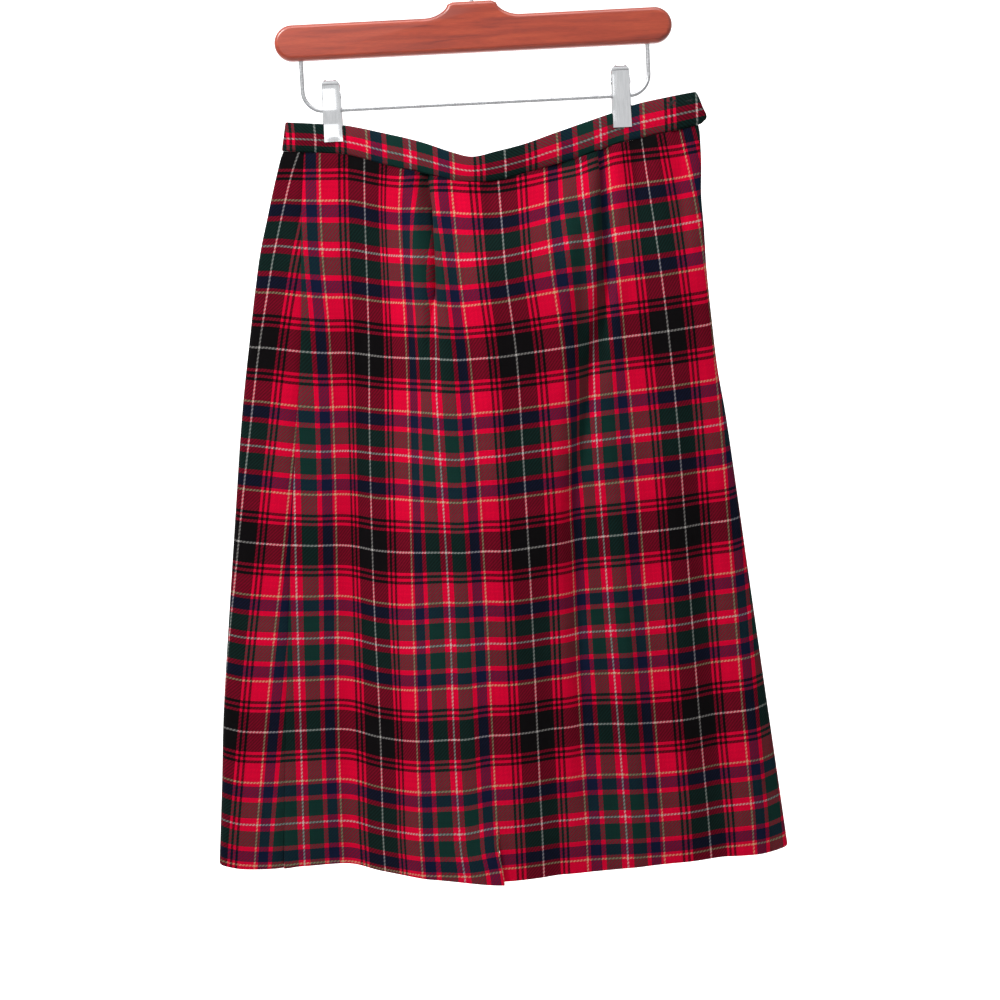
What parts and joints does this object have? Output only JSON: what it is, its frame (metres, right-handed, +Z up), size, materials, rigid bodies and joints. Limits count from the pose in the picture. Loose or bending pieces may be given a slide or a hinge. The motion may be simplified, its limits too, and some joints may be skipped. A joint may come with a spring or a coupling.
{
  "type": "tartan skirt on a hanger",
  "caption": "Straight below-the-knee tartan wool skirt with a narrow waistband, darts and a lapped hem slit, hung flat by clips from a wooden trouser hanger.",
  "frame": {"origin": "the point inside the top of the hanger's hook that rests on the rail", "axes": "+Z up, along the skirt from hem to hook; +X to the right of someone facing the skirt's front; +Y towards the back, so the front faces -Y"},
  "size_m": [0.5321, 0.0933, 0.8659],
  "materials": {
    "tartan_wool": "matt worsted wool twill in a red, black, green and navy tartan",
    "cherry_wood": "red-brown stain under clear lacquer",
    "plated_wire": "bright plated wire",
    "plated_sheet": "bright plated sheet steel"
  },
  "bodies": {
    "root": {"front_panel": "tartan_wool", "back_panel": "tartan_wool", "waistband": "tartan_wool", "hanger_bar": "cherry_wood", "hanger_hook": "plated_wire", "hanger_rod": "plated_wire", "clip_left_front_jaw": "plated_sheet", "clip_left_back_jaw": "plated_sheet", "clip_left_spring": "plated_sheet", "clip_right_front_jaw": "plated_sheet", "clip_right_back_jaw": "plated_sheet", "clip_right_spring": "plated_sheet"}
  },
  "joints": []
}
